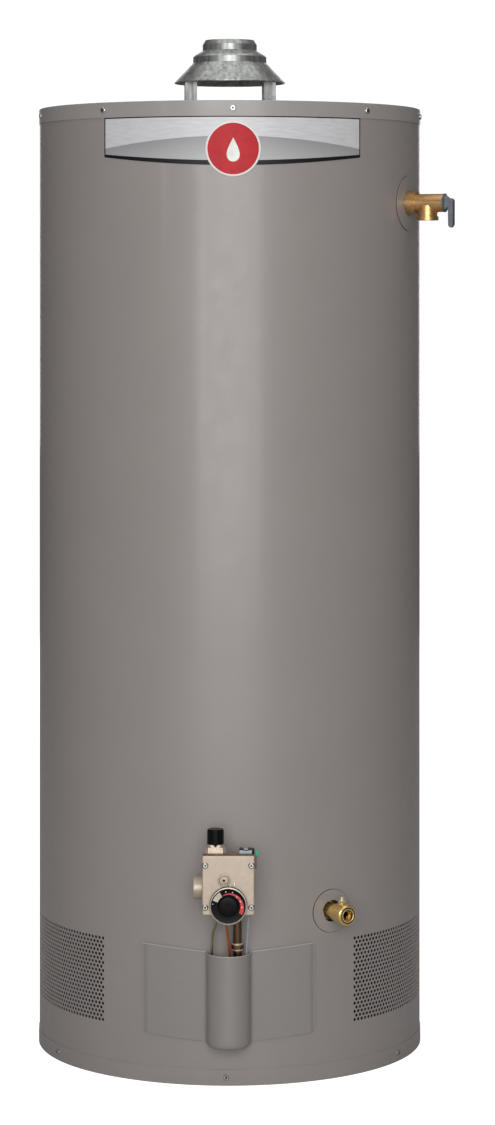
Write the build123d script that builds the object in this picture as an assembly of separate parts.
from build123d import *
import os
from math import asin, cos, degrees, radians, sin, tan

# Storage-tank gas water heater. Millimetres, +Z up, front towards -Y, origin on the tank's axis
# at floor level. Azimuths are measured from the front, positive towards +X.

# Driving dimensions ---------------------------------------------------------------------------
SHEET = 0.8                 # thickness of the jacket, lid and pan sheet
JACKET_R = 257.2            # outside radius of the jacket (20.25 in diameter)
SEAM_GAP = 0.2              # clearance between a turned-over skirt and the jacket
SKIRT_R = JACKET_R + SEAM_GAP + SHEET
LID_TOP = 1257.0            # rim of the lid
LID_SKIRT = 20.0            # height of the lid's turned-down skirt
LID_DISH = 7.0              # how far the lid's plate lies below its rim
PAN_SKIRT = 21.0            # height of the base pan's turned-up skirt

TANK_R = 228.6              # outside radius of the tank (18 in diameter)
TANK_WALL = 2.0
HEAD_WALL = 2.5
TANK_BOTTOM = 192.0         # lower edge of the tank's shell
TANK_TOP = 1195.0           # upper edge of the tank's shell
HEAD_RISE = 33.0            # crown of both domed heads
FLUE_R = 50.8               # 4 in flue
FLUE_WALL = 2.5
FLUE_TOP = 1256.0

PIPE_R = 13.335             # 3/4 in pipe, outside
PIPE_BORE_R = 10.45
SPUD_R = 18.0
SPUD_HOLE_R = 18.1
PIPE_HOLE_R = 13.4
NIPPLE_X = 101.6            # hot and cold connections are 8 in apart
NIPPLE_TOP = 1268.0
ANODE_Y = 130.0

RELIEF_AZ = 66.7
RELIEF_Z = 1129.0
DRAIN_AZ = 31.0
DRAIN_Z = 216.0
CONTROL_Z = 268.0           # centre of the control's face plate
SHANK_Z = 262.0

INTAKE_LOW = 70.8           # air intakes: first and last row of the fine pattern
INTAKE_HIGH = 176.2
INTAKE_START_AZ = 38.6
INTAKE_END_AZ = 92.5
INTAKE_PITCH = 30.0         # coarse pattern with the open area of the fine one
INTAKE_HOLE_R = 9.7

PORT_HALF_AZ = 19.0         # burner port in the jacket
PORT_LOW = 68.0
PORT_HIGH = 165.0

CONTROL_FRONT_Y = -321.0    # front of the control's casting
CONTROL_BACK_Y = -264.0
PLATE_W = 65.6
PLATE_H = 74.5
PLATE_T = 3.5
DIAL_Z = 243.7
DIAL_R = 23.75
COCK_X = -16.3
COCK_Y = -300.0
BUTTON_X = 22.9
BUTTON_Y = -303.0
CASTING_HALF = 31.6         # half the width of the control's casting
PLATE_SCREWS = ((-29.0, 293.2), (29.0, 293.2), (-29.0, 240.6), (29.0, 240.6))
GAS_BORE_R = 9.13           # tap drill of 1/2 in pipe thread
TAP_R = 11.75               # tap drill of 3/4 in pipe thread
DIAL_SHAFT_R = 4.0
COCK_STEM_R = 4.0
KNOB_LOW = 316.4            # underside of the gas cock's knob
KNOB_HIGH = 335.2
POINTER_SWEEP_R = 12.3      # the knob's pointer rib passes outside this radius
BUTTON_STEM_R = 2.4
RUNNING = 0.06              # radial clearance of a turning or sliding shaft

os.makedirs("parts", exist_ok=True)


# Small helpers --------------------------------------------------------------------------------
def tube(r_out, r_in, low, high):
    """Upright tube between two heights."""
    low_end = (Align.CENTER, Align.CENTER, Align.MIN)
    body = Pos(0, 0, low) * Cylinder(r_out, high - low, align=low_end)
    if r_in > 0:
        body -= Pos(0, 0, low) * Cylinder(r_in, high - low, align=low_end)
    return body


def turned(points):
    """Solid of revolution about Z from a closed outline of (radius, height) points."""
    outline = make_face(Plane.XZ * Polyline(*points, close=True))
    return revolve(outline, Axis.Z)


def radial(azimuth, height):
    """Plane on the tank's axis whose local Z points outwards at an azimuth and local Y points up."""
    a = radians(azimuth)
    return Plane(origin=(0, 0, height), x_dir=(cos(a), sin(a), 0), z_dir=(sin(a), -cos(a), 0))


def wedge(az_from, az_to, r_in, r_out, low, high):
    """Curved panel: a sector of a tube."""
    steps = 2 + int(abs(az_to - az_from) // 30)
    far = 2 * r_out
    fan = [(0, 0)]
    for step in range(steps + 1):
        a = radians(az_from + (az_to - az_from) * step / steps)
        fan.append((far * sin(a), -far * cos(a)))
    sector = extrude(make_face(Polyline(*fan, close=True)), amount=high - low)
    return tube(r_out, r_in, low, high) & (Pos(0, 0, low) * sector)


def box(x0, x1, y0, y1, z0, z1):
    return Pos((x0 + x1) / 2, (y0 + y1) / 2, (z0 + z1) / 2) * Box(x1 - x0, y1 - y0, z1 - z0)


def disc_y(x, z, radius, y_front, y_back):
    """Cylinder with its axis along Y."""
    length = y_back - y_front
    return Pos(x, (y_front + y_back) / 2, z) * Rot(90, 0, 0) * Cylinder(radius, length)


def dome(inner_r, outer_r, low, wall):
    """Domed head with a hole for the flue, from an arc through the crown's profile."""
    mid_r = (inner_r + outer_r) / 2
    mid_rise = HEAD_RISE * (1 - ((mid_r - inner_r) / (outer_r - inner_r)) ** 2)
    lower = ThreePointArc((inner_r, low + HEAD_RISE), (mid_r, low + mid_rise), (outer_r, low))
    upper = ThreePointArc(
        (inner_r, low + HEAD_RISE + wall), (mid_r, low + mid_rise + wall), (outer_r, low + wall)
    )
    sides = Line((outer_r, low), (outer_r, low + wall)) + Line(
        (inner_r, low + HEAD_RISE), (inner_r, low + HEAD_RISE + wall)
    )
    return revolve(make_face(Plane.XZ * (lower + upper + sides)), Axis.Z)


def bent_tube(points, radius, bend=0.42):
    """Round tube or wire along straight runs joined by arcs as large as the runs allow."""
    spots = [Vector(*p) for p in points]
    radii = []
    for before, here, after in zip(spots, spots[1:], spots[2:]):
        turn = radians((here - before).get_angle(after - here))
        shorter = min((here - before).length, (after - here).length)
        radii.append(bend * shorter / tan(turn / 2))
    path = FilletPolyline(*spots, radius=radii)
    start = Plane(origin=spots[0], z_dir=spots[1] - spots[0])
    print("bends", [round(r, 1) for r in radii])
    return sweep(start * Circle(radius), path=path)


def screw(head_r, head_h, shank_r, shank_l, slot=True):
    """Round-headed screw, head up along +Z from its seat, with a recess in the head."""
    base = (Align.CENTER, Align.CENTER, Align.MIN)
    top = (Align.CENTER, Align.CENTER, Align.MAX)
    head = Cylinder(head_r, head_h, align=base)
    head = chamfer(head.edges().group_by(Axis.Z)[-1], head_h * 0.4)
    body = head + Cylinder(shank_r, shank_l, align=top)
    if slot:
        depth = head_h * 0.5
        for angle in (0, 90):
            bar = Box(head_r * 1.1, head_r * 0.24, depth, align=base)
            body -= Pos(0, 0, head_h - depth) * Rot(0, 0, angle) * bar
    return body


def hexagon(across_flats, height):
    """Upright hexagonal prism."""
    return extrude(RegularPolygon(across_flats / 2, 6, major_radius=False), amount=height)


def save(name, shape):
    solids = shape.solids() if hasattr(shape, "solids") else shape
    whole = solids[0] if len(solids) == 1 else Compound(children=list(solids))
    export_step(whole, os.path.join("parts", name + ".step"))


def save_group(name, shapes):
    solids = [solid for shape in shapes for solid in shape.solids()]
    export_step(Compound(children=solids), os.path.join("parts", name + ".step"))


# Jacket, lid and pan --------------------------------------------------------------------------
def jacket_openings():
    """Holes cut through the jacket for the relief valve, drain, control, burner port and air."""
    reach = JACKET_R + 20
    base = (Align.CENTER, Align.CENTER, Align.MIN)
    holes = []
    for azimuth, height, radius in (
        (RELIEF_AZ, RELIEF_Z, 16.0),
        (DRAIN_AZ, DRAIN_Z, 14.0),
        (0, SHANK_Z, 19.0),
    ):
        holes.append(radial(azimuth, height) * Cylinder(radius, reach, align=base))
    holes.append(
        wedge(-PORT_HALF_AZ, PORT_HALF_AZ, JACKET_R - 10, JACKET_R + 10, PORT_LOW, PORT_HIGH)
    )
    return holes


def intake_holes():
    """Staggered round air holes on both flanks of the jacket."""
    base = (Align.CENTER, Align.CENTER, Align.MIN)
    row_gap = INTAKE_PITCH * sin(radians(60))
    rows = int((INTAKE_HIGH - INTAKE_LOW - 2 * INTAKE_HOLE_R) // row_gap)
    first = (INTAKE_LOW + INTAKE_HIGH - rows * row_gap) / 2
    step = degrees(INTAKE_PITCH / JACKET_R)
    drills = []
    for row in range(rows + 1):
        azimuth = INTAKE_START_AZ + step * (0.5 + 0.5 * (row % 2))
        while azimuth < INTAKE_END_AZ:
            for side in (-1, 1):
                drill = Pos(0, 0, JACKET_R - 5) * Cylinder(INTAKE_HOLE_R, 10, align=base)
                drills.append(radial(side * azimuth, first + row * row_gap) * drill)
            azimuth += step
    return drills


def skirt_screw_spots():
    """Azimuth and height of the screws through the lid's skirt and through the pan's."""
    front = [-39.0, 1.2, 44.0]
    rest = 6
    gap = (360 + front[0] - front[-1]) / (rest + 1)
    lid = front + [front[-1] + gap * (i + 1) for i in range(rest)]
    pan = [-0.7 + 60 * i for i in range(6)]
    return [(azimuth, LID_TOP - 10) for azimuth in lid], [(azimuth, 11) for azimuth in pan]


def skirt_screw_holes(spots):
    base = (Align.CENTER, Align.CENTER, Align.MIN)
    drill = Pos(0, 0, JACKET_R - 5) * Cylinder(1.3, 10, align=base)
    return [radial(azimuth, height) * drill for azimuth, height in spots]


def outer_jacket():
    shell = tube(JACKET_R, JACKET_R - SHEET, SHEET + 0.2, LID_TOP - SHEET - 0.2)
    lid_spots, pan_spots = skirt_screw_spots()
    return shell - jacket_openings() - intake_holes() - skirt_screw_holes(lid_spots + pan_spots)


def jacket_lid():
    top = LID_TOP
    plate = top - LID_DISH
    inner = JACKET_R + SEAM_GAP
    lid = turned([
        (SKIRT_R, top - LID_SKIRT),
        (SKIRT_R, top - 0.7),
        (SKIRT_R - 0.6, top),
        (SKIRT_R - 5.6, top),
        (SKIRT_R - 9.2, plate),
        (FLUE_R + 3, plate),
        (FLUE_R + 3, plate - SHEET),
        (SKIRT_R - 8.7, plate - SHEET),
        (SKIRT_R - 5.1, top - SHEET),
        (inner, top - SHEET),
        (inner, top - LID_SKIRT),
    ])
    for x, y, radius in ((-NIPPLE_X, 0, 19), (NIPPLE_X, 0, 19), (0, ANODE_Y, 21)):
        lid -= Pos(x, y, plate) * Cylinder(radius, 10)
    return lid - skirt_screw_holes(skirt_screw_spots()[0])


def base_pan():
    inner = JACKET_R + SEAM_GAP
    pan = turned([
        (0, 0),
        (SKIRT_R - 0.6, 0),
        (SKIRT_R, 0.6),
        (SKIRT_R, PAN_SKIRT - 0.3),
        (SKIRT_R - 0.3, PAN_SKIRT),
        (inner, PAN_SKIRT),
        (inner, SHEET),
        (0, SHEET),
    ])
    return pan - skirt_screw_holes(skirt_screw_spots()[1])


def ring_of_screws(spots):
    """Sheet-metal screws driven radially through a skirt into the jacket."""
    seat = Pos(0, 0, SKIRT_R) * screw(3.7, 1.9, 1.2, 3)
    return [radial(azimuth, height) * seat for azimuth, height in spots]


def name_plate():
    """Curved data plate under the lid with a bowed lower edge."""
    left = -JACKET_R * sin(radians(38.7))
    right = JACKET_R * sin(radians(41.4))
    top = LID_TOP - LID_SKIRT - 0.3
    side = 1186.0
    bow = 1174.0
    arc = ThreePointArc((left, side), ((left + right) / 2, bow), (right, side))
    lines = Polyline((left, side), (left, top), (right, top), (right, side))
    outline = make_face(Plane.XZ * (arc + lines))
    band = tube(JACKET_R + 0.42, JACKET_R + 0.04, bow - 5, top + 5)
    return extrude(outline, amount=JACKET_R + 20, dir=(0, -1, 0)) & band


def round_badge():
    """Round emblem button that laps the plate's lower edge."""
    base = (Align.CENTER, Align.CENTER, Align.MIN)
    plug = radial(1.3, 1195) * Cylinder(35.5, JACKET_R + 20, align=base)
    return plug & tube(JACKET_R + 1.6, JACKET_R + 0.46, 1150, 1240)


# Tank -----------------------------------------------------------------------------------------
def side_holes(radius):
    """Radial drills for the relief, drain and control spuds."""
    base = (Align.CENTER, Align.CENTER, Align.MIN)
    drill = Pos(0, 0, TANK_R - 40) * Cylinder(radius, 70, align=base)
    spots = ((RELIEF_AZ, RELIEF_Z), (DRAIN_AZ, DRAIN_Z), (0, SHANK_Z))
    return [radial(azimuth, height) * drill for azimuth, height in spots]


def top_holes(radius, low, high):
    base = (Align.CENTER, Align.CENTER, Align.MIN)
    spots = ((-NIPPLE_X, 0), (NIPPLE_X, 0), (0, ANODE_Y))
    return [Pos(x, y, low) * Cylinder(radius, high - low, align=base) for x, y in spots]


def tank_shell():
    return tube(TANK_R, TANK_R - TANK_WALL, TANK_BOTTOM, TANK_TOP) - side_holes(SPUD_HOLE_R)


def tank_top_head():
    head = dome(FLUE_R + 0.1, TANK_R, TANK_TOP, HEAD_WALL)
    return head - top_holes(SPUD_HOLE_R, TANK_TOP - 20, LID_TOP)


def tank_bottom_head():
    return dome(FLUE_R + 0.1, TANK_R - TANK_WALL - 0.2, TANK_BOTTOM + 4, HEAD_WALL)


def tank_spuds():
    """Threaded half couplings welded into the tank: three on top, three on the side."""
    base = (Align.CENTER, Align.CENTER, Align.MIN)
    spuds = []
    for x, y in ((-NIPPLE_X, 0), (NIPPLE_X, 0), (0, ANODE_Y)):
        spud = Cylinder(SPUD_R, 32, align=base) - Cylinder(PIPE_HOLE_R, 32, align=base)
        spuds.append(Pos(x, y, 1212) * spud)
    for azimuth, height in ((RELIEF_AZ, RELIEF_Z), (DRAIN_AZ, DRAIN_Z), (0, SHANK_Z)):
        spud = Cylinder(SPUD_R, 20, align=base) - Cylinder(PIPE_HOLE_R, 20, align=base)
        spuds.append(radial(azimuth, height) * Pos(0, 0, TANK_R - TANK_WALL) * spud)
    return spuds


def flue_tube():
    return tube(FLUE_R, FLUE_R - FLUE_WALL, TANK_BOTTOM + HEAD_RISE - 4, FLUE_TOP)


def flue_baffle():
    """Zigzag strip that hangs in the flue and makes the hot gas linger."""
    swing = 12.0
    pitch = 60.0
    folds = 15
    low = 300.0
    half = 0.75
    front = []
    back = []
    for fold in range(folds + 1):
        y = swing if fold % 2 else -swing
        front.append((y - half, low + fold * pitch))
        back.append((y + half, low + fold * pitch))
    strip = make_face(Plane.YZ * Polyline(*front, *reversed(back), close=True))
    return extrude(strip, amount=32, both=True)


def insulation_foam():
    """Foam cast between the tank and the jacket, open where pipes and valves pass."""
    r_in = TANK_R + 0.3
    r_out = JACKET_R - SHEET - 1.5
    top = LID_TOP - LID_DISH - SHEET - 0.3
    flue = FLUE_R + 0.3
    crown = TANK_TOP + HEAD_RISE + HEAD_WALL + 0.5
    foam = turned([
        (r_in, 212),
        (r_out, 212),
        (r_out, top),
        (flue, top),
        (flue, crown),
        (r_in - 60, crown),
        (r_in, crown - 16),
    ])
    base = (Align.CENTER, Align.CENTER, Align.MIN)
    for azimuth, height in ((RELIEF_AZ, RELIEF_Z), (DRAIN_AZ, DRAIN_Z), (0, SHANK_Z)):
        foam -= radial(azimuth, height) * Pos(0, 0, TANK_R - 5) * Cylinder(21, 60, align=base)
    return foam - top_holes(SPUD_R + 1.4, crown - 30, LID_TOP)


def base_insulation():
    """Glass-fibre collar between the combustion chamber's wall and the jacket."""
    return tube(JACKET_R - SHEET - 0.3, TANK_R + 0.3, 180, 211.5) - [
        radial(DRAIN_AZ, DRAIN_Z) * Pos(0, 0, TANK_R + 15) * Cylinder(21, 60)
    ]


# Connections on top ---------------------------------------------------------------------------
def nipple():
    """3/4 in pipe nipple with a relief groove under its upper thread."""
    return turned([
        (PIPE_BORE_R, 1198),
        (PIPE_R, 1198),
        (PIPE_R, 1252.5),
        (PIPE_R - 0.6, 1253),
        (PIPE_R - 0.6, 1253.5),
        (PIPE_R, 1254),
        (PIPE_R, NIPPLE_TOP),
        (PIPE_BORE_R, NIPPLE_TOP),
    ])


def nipple_seal():
    """Flanged plastic bushing between a nipple and the lid."""
    plate = LID_TOP - LID_DISH
    return turned([
        (PIPE_R + 0.1, plate - 4),
        (18.8, plate - 4),
        (18.8, plate + 0.05),
        (22.5, plate + 0.05),
        (22.5, plate + 1.6),
        (PIPE_R + 0.1, plate + 2.4),
    ])


def dip_tube():
    """Plastic tube that carries the cold water to the bottom of the tank."""
    pipe = turned([
        (8.0, 330),
        (9.5, 330),
        (9.5, 1262),
        (10.3, 1263),
        (10.3, 1265),
        (8.0, 1265),
    ])
    return pipe


def anode_rod():
    """Sacrificial rod hung from a hexagonal plug."""
    rod = tube(10.5, 0, 360, 1214) + tube(PIPE_R, 0, 1213.9, 1244.2)
    return rod + Pos(0, 0, 1244.1) * hexagon(27, 3.9)


# Draft hood -----------------------------------------------------------------------------------
HOOD_TOP = 1352.0
VENT_R = 36.8               # collar for 3 in vent pipe
WIDE_VENT_R = 49.8          # collar for 4 in vent pipe
HOOD_R = 75.0
HOOD_LOW = 1293.6


def draft_hood():
    """Stepped sheet hood: crimped 3 in collar, 4 in collar and a conical skirt."""
    t = SHEET
    return turned([
        (VENT_R - 3.4, HOOD_TOP),
        (VENT_R, HOOD_TOP - 6),
        (VENT_R, HOOD_TOP - 14),
        (WIDE_VENT_R - 2.2, HOOD_TOP - 20.5),
        (WIDE_VENT_R, HOOD_TOP - 23),
        (WIDE_VENT_R, HOOD_TOP - 31),
        (HOOD_R, HOOD_LOW + 1),
        (HOOD_R, HOOD_LOW),
        (HOOD_R - t, HOOD_LOW),
        (HOOD_R - t, HOOD_LOW + 0.6),
        (WIDE_VENT_R - t, HOOD_TOP - 31.4),
        (WIDE_VENT_R - t, HOOD_TOP - 23.3),
        (WIDE_VENT_R - 2.6, HOOD_TOP - 21.2),
        (VENT_R - t, HOOD_TOP - 14.6),
        (VENT_R - t, HOOD_TOP - 6.1),
        (VENT_R - 4.2, HOOD_TOP),
    ])


def draft_hood_legs():
    """Four hat-section legs between the lid and the inside of the hood's skirt."""
    foot = LID_TOP - LID_DISH + 0.02
    head = HOOD_LOW + 2.6
    leg = box(45, 50, -37, -36, foot, head) + box(49, 50, -37, -31, foot, head)
    leg += box(49, 57, -32, -31, foot, head) + box(56, 57, -37, -31, foot, head)
    leg += box(56, 61, -37, -36, foot, head) + box(45, 61, -48, -36, foot, foot + 1)
    front = [leg, mirror(leg, Plane.YZ)]
    back = [mirror(piece, Plane.XZ) for piece in front]
    return [Rot(0, 0, 2) * piece for piece in front + back]


# Combustion chamber ---------------------------------------------------------------------------
def combustion_skirt():
    """Lower wall of the tank: firebox with an access opening and air slots at its foot."""
    wall = tube(TANK_R, TANK_R - TANK_WALL, SHEET + 0.1, TANK_BOTTOM - 0.1)
    wall -= wedge(-18, 18, TANK_R - 10, TANK_R + 10, 66, 164)
    for i in range(8):
        middle = 22.5 + 45 * i
        wall -= wedge(middle - 6, middle + 6, TANK_R - 10, TANK_R + 10, 8, 24)
    return wall - door_screw_holes()


def flame_arrestor():
    """Slotted plate that lets air up to the burner and keeps a flame from passing down."""
    plate = tube(TANK_R - TANK_WALL - 0.2, 0, 30, 32)
    slots = []
    for ring, count in ((60, 12), (90, 18), (120, 24), (150, 30)):
        for i in range(count):
            slots.append(Rot(0, 0, 360 * i / count) * Pos(ring, 0, 31) * Box(22, 4, 6))
    return plate - slots


def burner():
    """Round pressed burner with slot ports round its rim and a throat underneath."""
    pan = turned([
        (0, 112),
        (40, 112),
        (112, 106),
        (118, 101),
        (112, 96),
        (34, 92),
        (26, 70),
        (24.5, 70),
        (32, 93.5),
        (111, 97.5),
        (116, 101),
        (111, 104.5),
        (40, 110.5),
        (0, 110.5),
    ])
    ports = [Rot(0, 0, 10 * i) * Pos(100, 0, 108) * Box(16, 2, 10) for i in range(36)]
    return pan - ports


def burner_legs():
    """Three bent straps that stand the burner on the arrestor plate."""
    strap = box(92, 94, -8, 8, 32.05, 94.6) + box(80, 94, -8, 8, 32.05, 33.6)
    return [Rot(0, 0, 90 + 120 * i) * strap for i in range(3)]


def sector_door(r_in, r_out, half, low, high):
    """Curved panel centred on the front."""
    return wedge(-half, half, r_in, r_out, low, high)


def through_door(spots):
    """Drills through the inner door at (x, z, radius)."""
    return [disc_y(x, z, radius, -250, -200) for x, z, radius in spots]


MANIFOLD_R = 5.55           # 7/16 in burner tube
PILOT_R = 1.6
LEAD_R = 1.0
DOOR_Z = 112.0              # height at which the pilot's lines cross the inner door
MANIFOLD_Z = 82.0
MANIFOLD_X = 11.3
PILOT_X = -21.5
THERMO_X = 2.0
LEAD_X = 22.5
TUBE_Y = -274.0             # burner tube, between the jacket and the cover's housing
SIGHT_X = -48.0
SIGHT_Z = 135.0


def inner_door():
    door = sector_door(TANK_R + 1.8, TANK_R + 3.3, 20.5, 60, 170)
    door -= door_screw_holes()
    door -= through_door([
        (MANIFOLD_X, MANIFOLD_Z, MANIFOLD_R + 0.4),
        (PILOT_X, DOOR_Z, PILOT_R + 0.3),
        (THERMO_X, DOOR_Z, PILOT_R + 0.3),
        (LEAD_X, DOOR_Z, LEAD_R + 0.3),
        (SIGHT_X, SIGHT_Z, 10.0),
    ])
    return door


def door_gasket():
    rope = sector_door(TANK_R + 0.1, TANK_R + 1.7, 20.5, 60, 170)
    return rope - sector_door(TANK_R - 5, TANK_R + 6, 18, 66, 164) - door_screw_holes()


def sight_glass():
    """Round glass over the viewing hole in the inner door."""
    azimuth = degrees(asin(SIGHT_X / TANK_R))
    base = (Align.CENTER, Align.CENTER, Align.MIN)
    return radial(azimuth, SIGHT_Z) * Pos(0, 0, TANK_R + 3.7) * Cylinder(12.5, 2.5, align=base)


DOOR_SCREWS = ((-19.3, 72), (19.3, 72), (-19.3, 158), (19.3, 158))


def door_screw_holes():
    base = (Align.CENTER, Align.CENTER, Align.MIN)
    drill = Pos(0, 0, TANK_R - 5) * Cylinder(1.5, 12, align=base)
    return [radial(azimuth, height) * drill for azimuth, height in DOOR_SCREWS]


def inner_door_screws():
    seat = Pos(0, 0, TANK_R + 3.45) * screw(4.2, 2.2, 1.4, 6)
    return [radial(azimuth, height) * seat for azimuth, height in DOOR_SCREWS]


def pilot_burner():
    """Pilot head with its hood and the bracket that holds the probe and the electrode."""
    block = box(-26, 29, -128, -122, 103, 121)
    block += box(-26, -17, -122, -117.5, 108, 121)
    block -= [
        disc_y(PILOT_X, DOOR_Z, PILOT_R + 0.05, -140, -124),
        disc_y(THERMO_X, DOOR_Z, PILOT_R + 0.05, -140, -100),
        disc_y(LEAD_X, DOOR_Z, LEAD_R + 0.05, -140, -100),
    ]
    return block


def burner_manifold_tube():
    """Burner supply tube: down from the control, through the door and under the burner."""
    return bent_tube([
        (MANIFOLD_X, TUBE_Y, 226),
        (MANIFOLD_X, TUBE_Y, 140),
        (MANIFOLD_X, TUBE_Y + 5, 104),
        (MANIFOLD_X, TUBE_Y + 22, MANIFOLD_Z),
        (MANIFOLD_X, -195, MANIFOLD_Z),
        (0, -140, 58),
        (0, -16, 58),
    ], MANIFOLD_R)


def burner_orifice():
    """Brass elbow with the orifice that aims the gas up the burner's throat."""
    elbow = box(-9, 9, -15.95, 9, 48, 68) + tube(4, 0, 67.9, 76)
    return elbow - tube(1.5, 0, 58, 80)


def manifold_nut():
    """Hexagonal compression nut on the burner tube."""
    nut = Pos(MANIFOLD_X, TUBE_Y, 176.5) * (hexagon(14.3, 9.5) - Cylinder(MANIFOLD_R + 0.1, 40))
    return nut


def pilot_tube():
    return bent_tube([
        (-15.5, -279, 233),
        (-15.5, -279, 212),
        (-20.5, -276, 196),
        (PILOT_X, -273, 170),
        (PILOT_X, -268, 133),
        (PILOT_X, -250, 114),
        (PILOT_X, -226, DOOR_Z),
        (PILOT_X, -124, DOOR_Z),
    ], PILOT_R)


def thermocouple():
    return bent_tube([
        (-4.3, -280, 233),
        (-3.9, -280, 216),
        (-0.5, -277, 194),
        (THERMO_X, -275, 170),
        (THERMO_X, -269, 133),
        (THERMO_X, -250, 114),
        (THERMO_X, -226, DOOR_Z),
        (THERMO_X, -112, DOOR_Z),
    ], PILOT_R)


def igniter_lead():
    return bent_tube([
        (25.5, -279, 233),
        (25.2, -279, 214),
        (23.5, -275, 190),
        (LEAD_X, -271, 168),
        (LEAD_X, -267, 133),
        (LEAD_X, -250, 114),
        (LEAD_X, -226, DOOR_Z),
        (LEAD_X, -112, DOOR_Z),
    ], LEAD_R)


# Access cover ---------------------------------------------------------------------------------
COVER_R = JACKET_R + 0.8
COVER_T = 1.2
COVER_HALF_AZ = 25.5
COVER_LOW = 63.0            # lower edge of the wings at their ends
COVER_HIGH = 177.5          # upper edge of the wings at their ends
WING_DROP = 6.5             # how much lower both edges lie beside the housing
BULGE_R = 27.5              # half-round housing over the tubes
BULGE_Y = -264.5
BULGE_LOW = 52.5


def half_round(radius, low, high, foot_radius):
    """Half-round housing, flat towards the tank, with its lower rim rounded."""
    base = (Align.CENTER, Align.CENTER, Align.MIN)
    pipe = Pos(0, BULGE_Y, low) * Cylinder(radius, high - low, align=base)
    pipe = fillet(pipe.edges().group_by(Axis.Z)[0], foot_radius)
    return pipe + box(-radius, radius, BULGE_Y, -240, low + foot_radius, high)


def access_cover():
    """Pull-off cover: two curved wings and a central half-round housing open at top and back."""
    end = (COVER_R + COVER_T) * sin(radians(COVER_HALF_AZ))
    top = COVER_HIGH - WING_DROP
    low = COVER_LOW - WING_DROP
    outline = Polyline(
        (-end, COVER_HIGH), (-BULGE_R, top), (BULGE_R, top), (end, COVER_HIGH),
        (end, COVER_LOW + 9), (end - 9, COVER_LOW - 0.6), (BULGE_R, low), (-BULGE_R, low),
        (9 - end, COVER_LOW - 0.6), (-end, COVER_LOW + 9), close=True,
    )
    front = extrude(make_face(Plane.XZ * outline), amount=400, dir=(0, -1, 0))
    shell = tube(COVER_R + COVER_T, COVER_R, low - 5, COVER_HIGH + 5)
    wings = shell & front
    outer = half_round(BULGE_R, BULGE_LOW, top, 6)
    inner = half_round(BULGE_R - COVER_T, BULGE_LOW + COVER_T, top + 30, 5)
    cover = outer + wings - inner - tube(COVER_R, 0, 0, 300)
    tab = wedge(-17.6, -15.6, JACKET_R - 9, COVER_R + 0.3, 140, 148)
    return cover + tab + mirror(tab, Plane.YZ)


# Control --------------------------------------------------------------------------------------
CASTING_TOP = 297.0
PRESSURE_TAP_X = -5.5
PRESSURE_TAP_Z = 274.4


def cock_housing():
    """Tapered eight-sided turret over the gas cock, with two sealed screw pockets in front."""
    front = -14.6
    outline = Polyline(
        (-10.4, front), (10.4, front), (15.8, -9.0), (15.8, 9.0),
        (10.4, 14.6), (-10.4, 14.6), (-15.8, 9.0), (-15.8, -9.0), close=True,
    )
    turret = extrude(make_face(outline), amount=20.3, taper=11)
    for x in (-8.4, 8.4):
        turret -= disc_y(x, 3.4, 1.3, front - 2, front + 2.6)
    turret = Pos(COCK_X, COCK_Y, CASTING_TOP - 1) * turret
    return turret - Pos(COCK_X, COCK_Y, 0) * tube(24, POINTER_SWEEP_R, KNOB_LOW - 3.2, KNOB_LOW + 2)


def control_body():
    """Cast gas control: block, cock housing, inlet boss, outlet boss and shank boss."""
    base = (Align.CENTER, Align.CENTER, Align.MIN)
    block = box(-CASTING_HALF, CASTING_HALF, CONTROL_FRONT_Y, CONTROL_BACK_Y, 233, CASTING_TOP)
    block = fillet(block.edges().filter_by(Axis.Z).group_by(Axis.Y)[-1], 5)
    body = block + cock_housing()
    inlet = Pos(-36.2, -295, 260) * Rot(0, 90, 0) * Cylinder(14.2, 15.2)
    body += inlet
    body += Pos(MANIFOLD_X, TUBE_Y, 222) * Cylinder(8.6, 14, align=base)
    body += disc_y(0, SHANK_Z, 17, CONTROL_BACK_Y - 1, -260)
    body -= Pos(-36, -295, 260) * Rot(0, 90, 0) * Cylinder(GAS_BORE_R, 16)
    body -= Pos(-27, -295, 260) * Rot(0, 90, 0) * Cylinder(6, 20)
    body -= Pos(MANIFOLD_X, TUBE_Y, 215) * Cylinder(MANIFOLD_R + 0.1, 30, align=base)
    body -= disc_y(0, SHANK_Z, PIPE_HOLE_R, -274, -255)
    body -= disc_y(0, DIAL_Z, DIAL_SHAFT_R + RUNNING, -330, -296)
    body -= Pos(COCK_X, COCK_Y, 262) * Cylinder(COCK_STEM_R + RUNNING, 60, align=base)
    body -= Pos(COCK_X, COCK_Y, 262) * Cylinder(9.6, 24, align=base)
    body -= Pos(BUTTON_X, BUTTON_Y, 262) * Cylinder(BUTTON_STEM_R + RUNNING, 60, align=base)
    body -= Pos(BUTTON_X, BUTTON_Y, 262) * Cylinder(5.4, 22, align=base)
    for x, z in PLATE_SCREWS:
        body -= disc_y(x, z, 1.65, CONTROL_FRONT_Y - 1, CONTROL_FRONT_Y + 9)
    for x, y, r in ((-15.5, -279, PILOT_R), (-4.3, -280, PILOT_R), (25.5, -279, LEAD_R)):
        body -= Pos(x, y, 232) * Cylinder(r + 0.1, 6, align=base)
    return body


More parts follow.
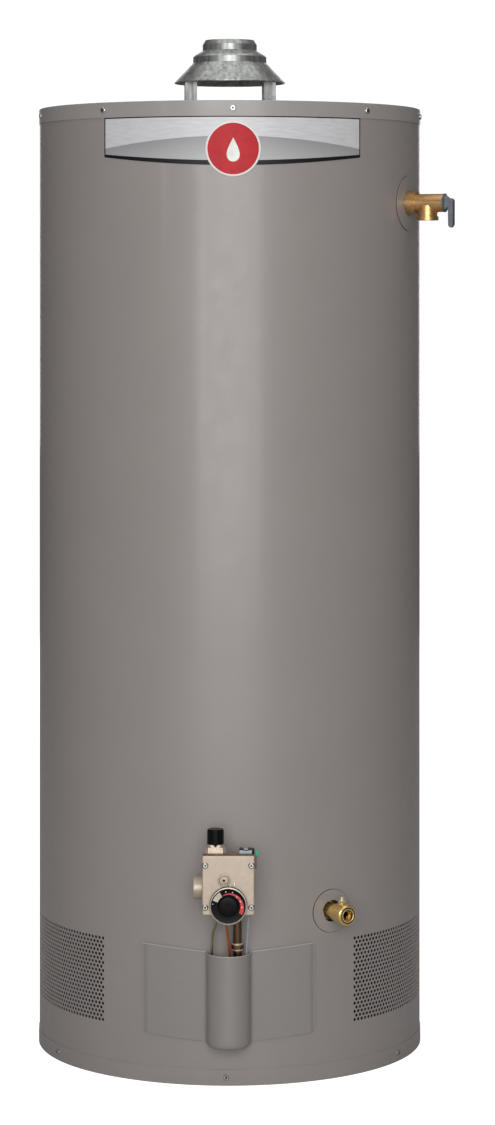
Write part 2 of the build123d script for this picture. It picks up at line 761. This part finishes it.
def control_face_plate():
    """Front plate with the pressure tap's boss and the index ridge over the dial."""
    low = CONTROL_Z - PLATE_H / 2
    front = CONTROL_FRONT_Y - PLATE_T
    plate = box(-PLATE_W / 2, PLATE_W / 2, front, CONTROL_FRONT_Y - 0.02, low, low + PLATE_H)
    plate = fillet(plate.edges().filter_by(Axis.Y), 2.2)
    plate = fillet(plate.faces().sort_by(Axis.Y)[0].edges(), 1.0)
    plate += disc_y(PRESSURE_TAP_X, PRESSURE_TAP_Z, 8.5, front - 1.4, front + 1)
    plate += box(5.6, 9.5, front - 1.6, front + 1, 267, 271.8)
    plate -= disc_y(PRESSURE_TAP_X, PRESSURE_TAP_Z, 5.3, front - 2, front + 0.6)
    plate -= disc_y(PRESSURE_TAP_X, PRESSURE_TAP_Z, 2.0, front - 2, front + 5)
    plate -= disc_y(0, DIAL_Z, DIAL_SHAFT_R + RUNNING, front - 2, front + 5)
    for x, z in PLATE_SCREWS:
        plate -= disc_y(x, z, 1.7, front - 2, front + 5)
    return plate


def face_plate_screws():
    seat = CONTROL_FRONT_Y - PLATE_T
    screws = []
    for x, z in PLATE_SCREWS:
        face = Plane(origin=(x, seat, z), x_dir=(1, 0, 0), z_dir=(0, -1, 0))
        screws.append(face * screw(3.3, 2.0, 1.6, PLATE_T + 7))
    return screws


def pressure_tap_plug():
    """Small plug in the pressure tap's boss with a pin hole."""
    front = CONTROL_FRONT_Y - PLATE_T
    plug = disc_y(PRESSURE_TAP_X, PRESSURE_TAP_Z, 5.2, front - 1.0, front + 0.6)
    plug += disc_y(PRESSURE_TAP_X, PRESSURE_TAP_Z, 1.9, front, front + 3)
    return plug - disc_y(PRESSURE_TAP_X, PRESSURE_TAP_Z, 1.3, front - 2, front + 2)


def temperature_dial():
    """Stepped dial and its shaft."""
    back = CONTROL_FRONT_Y - PLATE_T - 2.2
    dial = disc_y(0, DIAL_Z, DIAL_R, back - 6.5, back)
    dial = chamfer(dial.faces().sort_by(Axis.Y)[0].edges(), 1.2)
    dial += disc_y(0, DIAL_Z, 12.4, back - 9.0, back - 6)
    dial += disc_y(0, DIAL_Z, DIAL_SHAFT_R, back - 1, -297)
    return dial


KNOB_R = 10.5
PLUG_LOW = 263.0            # foot of the gas cock's tapered plug


def gas_cock_knob():
    """Ribbed knob with a pointer rib, pressed on its stem."""
    base = (Align.CENTER, Align.CENTER, Align.MIN)
    knob = Cylinder(KNOB_R, KNOB_HIGH - KNOB_LOW, align=base)
    knob = fillet(knob.edges().group_by(Axis.Z)[-1], 2.2)
    for i in range(16):
        notch = Pos(KNOB_R + 0.35, 0, -1) * Cylinder(1.0, KNOB_HIGH - KNOB_LOW - 3, align=base)
        knob -= Rot(0, 0, 22.5 * i + 11.25) * notch
    rib = [(-2.6, 17.0), (2.6, 17.0), (2.6, 0.2), (0, -2.6), (-2.6, 0.2)]
    pointer = extrude(make_face(Plane.XZ * Polyline(*rib, close=True)), amount=3.4, dir=(0, -1, 0))
    knob += Pos(0, -KNOB_R + 0.6, 0) * pointer
    knob -= tube(12.7, 0, -10, 0)
    knob -= Cylinder(COCK_STEM_R, 12, align=base)
    return Pos(COCK_X, COCK_Y, KNOB_LOW) * knob


def gas_cock_plug():
    """Tapered plug and stem turned by the knob."""
    base = (Align.CENTER, Align.CENTER, Align.MIN)
    plug = Cone(8.2, 9.3, 22, align=base)
    plug -= Pos(0, 0, 11) * Rot(0, 90, 0) * Cylinder(5, 30)
    stem = Pos(0, 0, 21.9) * Cylinder(COCK_STEM_R, KNOB_LOW + 12 - PLUG_LOW - 21.9, align=base)
    return Pos(COCK_X, COCK_Y, PLUG_LOW) * (plug + stem)


def pilot_button():
    """Low rectangular push button with a stem into the valve."""
    base = (Align.CENTER, Align.CENTER, Align.MIN)
    cap = Box(19.4, 14, 7.9, align=base)
    cap = fillet(cap.edges().filter_by(Axis.Z), 2.0)
    cap = fillet(cap.edges().group_by(Axis.Z)[-1], 1.2)
    stem = Pos(0, 0, -34) * Cylinder(BUTTON_STEM_R, 34.5, align=base)
    collar = Pos(0, 0, -25.5) * Cylinder(4.2, 1.6, align=base)
    return Pos(BUTTON_X, BUTTON_Y, 302.4) * (cap + stem + collar)


def coil_spring(coil_r, wire_r, length, turns):
    """Compression spring standing on +Z from the origin."""
    path = Helix(pitch=length / turns, height=length, radius=coil_r)
    start = Plane(origin=path @ 0, z_dir=path % 0)
    return sweep(start * Circle(wire_r), path=path, is_frenet=True)


def pilot_button_spring():
    return Pos(BUTTON_X, BUTTON_Y, 264.2) * coil_spring(4.2, 0.45, 11.5, 6)


def pilot_terminal():
    """Insulated spade terminal at the button's right, on a small post of the casting."""
    post = box(CASTING_HALF, 35.2, -309, -299, 286, 289) + box(33.0, 35.2, -309, -299, 286, 303)
    return post + box(33.0, 37.3, -308, -300, 301.3, 308.9)


def thermostat_shank():
    """Threaded shank that screws into the tank and carries the control."""
    base = (Align.CENTER, Align.CENTER, Align.MIN)
    shank = Cylinder(PIPE_R, 48, align=base) + Pos(0, 0, 24) * hexagon(30, 8)
    shank -= Pos(0, 0, -1) * Cylinder(5.4, 60, align=base)
    return radial(0, SHANK_Z) * Pos(0, 0, 225) * shank


def thermostat_probe():
    """Closed copper probe in the water, held by the shank."""
    return disc_y(0, SHANK_Z, 5.2, -262, -90)


# Relief valve ---------------------------------------------------------------------------------
RELIEF = radial(RELIEF_AZ, RELIEF_Z)
BONNET_R = 12.2
BONNET_END = 308.6
OUTLET_R = 285.2            # distance of the outlet's axis from the tank's axis
PIVOT_OUT = 317.5
PIVOT_UP = 2.0
CAP_END = BONNET_END + 1.6
STEM_R = 1.5


def out(low, high, radius):
    """Cylinder along a local outward axis between two distances from the tank's axis."""
    base = (Align.CENTER, Align.CENTER, Align.MIN)
    return Pos(0, 0, low) * Cylinder(radius, high - low, align=base)


def relief_valve_body():
    """Cast body: probe, threaded inlet, collar, bonnet and a downward outlet with its web."""
    body = out(223.5, 248, PIPE_R) + out(247, 271, 15.2) + out(270, BONNET_END, BONNET_R)
    body = fillet(body.edges().filter_by(GeomType.CIRCLE).sort_by(Axis.Z)[-4:-3], 1.0)
    down = Pos(0, -23, OUTLET_R) * Rot(-90, 0, 0)
    base = (Align.CENTER, Align.CENTER, Align.MIN)
    body += down * Cylinder(14.5, 5.3, align=base)
    body += down * Cylinder(12.9, 20, align=base)
    web = Polyline((0, 274), (0, 305), (-17.5, 296), (-17.5, 274), close=True)
    body += extrude(make_face(Plane.YZ * web), amount=3, both=True)
    body -= out(220, 262, 8.0) + out(261, 304, 9.4) + out(303, 312, STEM_R + 1.2)
    body += out(120, 240, 4.7) + box(-8.4, 8.4, -1.5, 1.5, 232, 238)
    body -= down * Pos(0, 0, -1) * Cylinder(TAP_R, 16, align=base)
    body -= down * Cylinder(6, 23, align=base)
    return RELIEF * body


def relief_cap():
    """End cap with the two ears that carry the lever's pin."""
    cap = out(BONNET_END + 0.02, CAP_END, 12.4) - out(300, 330, STEM_R + 1.2)
    back = CAP_END - 0.3
    ear_outline = make_face(Plane.YZ * Polyline(
        (11, back), (PIVOT_UP + 2.3, PIVOT_OUT + 1.2), (PIVOT_UP - 2.3, PIVOT_OUT + 1.2),
        (-9, back), close=True,
    ))
    for side in (-1, 1):
        ear = Pos(side * 2.4, 0, 0) * extrude(ear_outline, amount=0.6, both=True)
        cap += ear
    cap -= Pos(0, PIVOT_UP, PIVOT_OUT) * Rot(0, 90, 0) * Cylinder(1.2 + RUNNING, 20)
    return RELIEF * cap


def relief_lever():
    """Folded channel lever with its pivot pin, hanging down along the bonnet's end."""
    tip = -32.6
    inner = 315.0
    outer = 321.9
    cheek = Polyline(
        (PIVOT_UP + 4.0, PIVOT_OUT - 1.6),
        (PIVOT_UP + 4.0, PIVOT_OUT + 1.8),
        (PIVOT_UP + 1.6, outer),
        (tip + 3, outer - 0.6),
        (tip, outer - 2.8),
        (tip, inner + 2.4),
        (tip + 3, inner + 0.4),
        (-6, inner),
        (PIVOT_UP - 2, PIVOT_OUT - 4.0),
        (PIVOT_UP + 2, PIVOT_OUT - 4.0),
        close=True,
    )
    plate = make_face(Plane.YZ * cheek)
    lever = Pos(3.3, 0, 0) * extrude(plate, amount=1.1)
    lever += Pos(-4.4, 0, 0) * extrude(plate, amount=1.1)
    lever += box(-4.4, 4.4, tip + 3, PIVOT_UP - 2.5, outer - 1.1, outer - 0.1) & (
        box(-4.4, 4.4, tip, 10, 300, outer)
    )
    pin = Pos(0, PIVOT_UP, PIVOT_OUT) * Rot(0, 90, 0) * Cylinder(1.2, 10.4)
    return RELIEF * (lever + pin)


def relief_stem():
    """Valve disc and stem that the lever lifts off the seat."""
    stem = out(262.5, 312.8, STEM_R) + out(262.4, 265.4, 8.9)
    return RELIEF * stem


def relief_spring():
    return RELIEF * Pos(0, 0, 266.6) * coil_spring(6.4, 0.9, 35.6, 8)


def relief_escutcheon():
    base = (Align.CENTER, Align.CENTER, Align.MIN)
    disc = Cylinder(36, JACKET_R + 20, align=base) - Cylinder(16, JACKET_R + 20, align=base)
    return (RELIEF * disc) & tube(JACKET_R + 1.3, JACKET_R + 0.05, RELIEF_Z - 50, RELIEF_Z + 50)


# Drain valve ----------------------------------------------------------------------------------
DRAIN = radial(DRAIN_AZ, DRAIN_Z)
HOSE_R = 13.3               # 3/4 in garden-hose thread, outside
DRAIN_BORE_R = 7.3
DRAIN_STEM_OUT = 281.0
BALL_R = 8.0


def drain_valve_body():
    """Brass body: pipe inlet, tapered barrel, ball chamber and hose outlet."""
    body = out(223.5, 248, PIPE_R) + out(247, 274, 10) + out(287.2, 296, HOSE_R)
    body = chamfer(body.edges().group_by(Axis.Z)[-1], 1.6)
    body += out(270, 288, 11.4)
    stand = Pos(0, 0, DRAIN_STEM_OUT) * Rot(-90, 0, 0)
    base = (Align.CENTER, Align.CENTER, Align.MIN)
    body += stand * Cylinder(5.2, 14.5, align=base)
    body -= out(220, 275, 6) + out(286, 300, DRAIN_BORE_R)
    body -= Pos(0, 0, DRAIN_STEM_OUT) * Sphere(BALL_R + 0.3)
    body -= out(DRAIN_STEM_OUT, 290, DRAIN_BORE_R)
    body -= stand * Cylinder(3.0 + RUNNING, 20, align=base)
    return DRAIN * body


def drain_stem():
    """Slotted stem of the drain valve with its hexagonal collar."""
    stand = Pos(0, 0, DRAIN_STEM_OUT) * Rot(-90, 0, 0)
    base = (Align.CENTER, Align.CENTER, Align.MIN)
    stem = Pos(0, 0, 7.0) * Cylinder(3.0, 12, align=base)
    stem += Pos(0, 0, 14.7) * hexagon(9.2, 2.6)
    stem += Pos(0, 0, 17) * Cylinder(3.1, 4.6, align=base)
    stem -= Pos(0, 0, 19.4) * Box(8, 1.2, 3, align=base)
    return DRAIN * stand * stem


def drain_ball():
    ball = Sphere(BALL_R) - Cylinder(5, 20)
    ball -= Rot(-90, 0, 0) * Pos(0, 0, 6.8) * Cylinder(3.1, 4, align=(Align.CENTER, Align.CENTER, Align.MIN))
    return DRAIN * Pos(0, 0, DRAIN_STEM_OUT) * ball


def drain_escutcheon():
    base = (Align.CENTER, Align.CENTER, Align.MIN)
    disc = Cylinder(27.5, JACKET_R + 20, align=base) - Cylinder(13.9, JACKET_R + 20, align=base)
    return (DRAIN * disc) & tube(JACKET_R + 1.1, JACKET_R + 0.05, DRAIN_Z - 40, DRAIN_Z + 40)


# Build ----------------------------------------------------------------------------------------
for build in (
    outer_jacket, jacket_lid, base_pan, name_plate, round_badge,
    tank_shell, tank_top_head, tank_bottom_head, flue_tube, flue_baffle,
    insulation_foam, base_insulation, draft_hood,
    combustion_skirt, flame_arrestor, burner, inner_door, door_gasket, sight_glass,
    pilot_burner, burner_manifold_tube, manifold_nut, burner_orifice,
    pilot_tube, thermocouple, igniter_lead, access_cover,
    control_body, control_face_plate, pressure_tap_plug, temperature_dial,
    gas_cock_knob, gas_cock_plug, pilot_button, pilot_button_spring, pilot_terminal,
    thermostat_shank, thermostat_probe,
    relief_valve_body, relief_cap, relief_lever, relief_stem, relief_spring,
    relief_escutcheon, drain_valve_body, drain_stem, drain_ball, drain_escutcheon,
):
    print(build.__name__)
    save(build.__name__, build())

for name, group in (
    ("lid_screws", ring_of_screws(skirt_screw_spots()[0])),
    ("base_screws", ring_of_screws(skirt_screw_spots()[1])),
    ("tank_spuds", tank_spuds()),
    ("draft_hood_legs", draft_hood_legs()),
    ("burner_legs", burner_legs()),
    ("inner_door_screws", inner_door_screws()),
    ("face_plate_screws", face_plate_screws()),
):
    print(name)
    save_group(name, group)

save("anode_rod", Pos(0, ANODE_Y, 0) * anode_rod())
save("hot_nipple", Pos(-NIPPLE_X, 0, 0) * nipple())
save("cold_nipple", Pos(NIPPLE_X, 0, 0) * nipple())
save("dip_tube", Pos(NIPPLE_X, 0, 0) * dip_tube())
save_group("nipple_seals", [Pos(x, 0, 0) * nipple_seal() for x in (-NIPPLE_X, NIPPLE_X)])
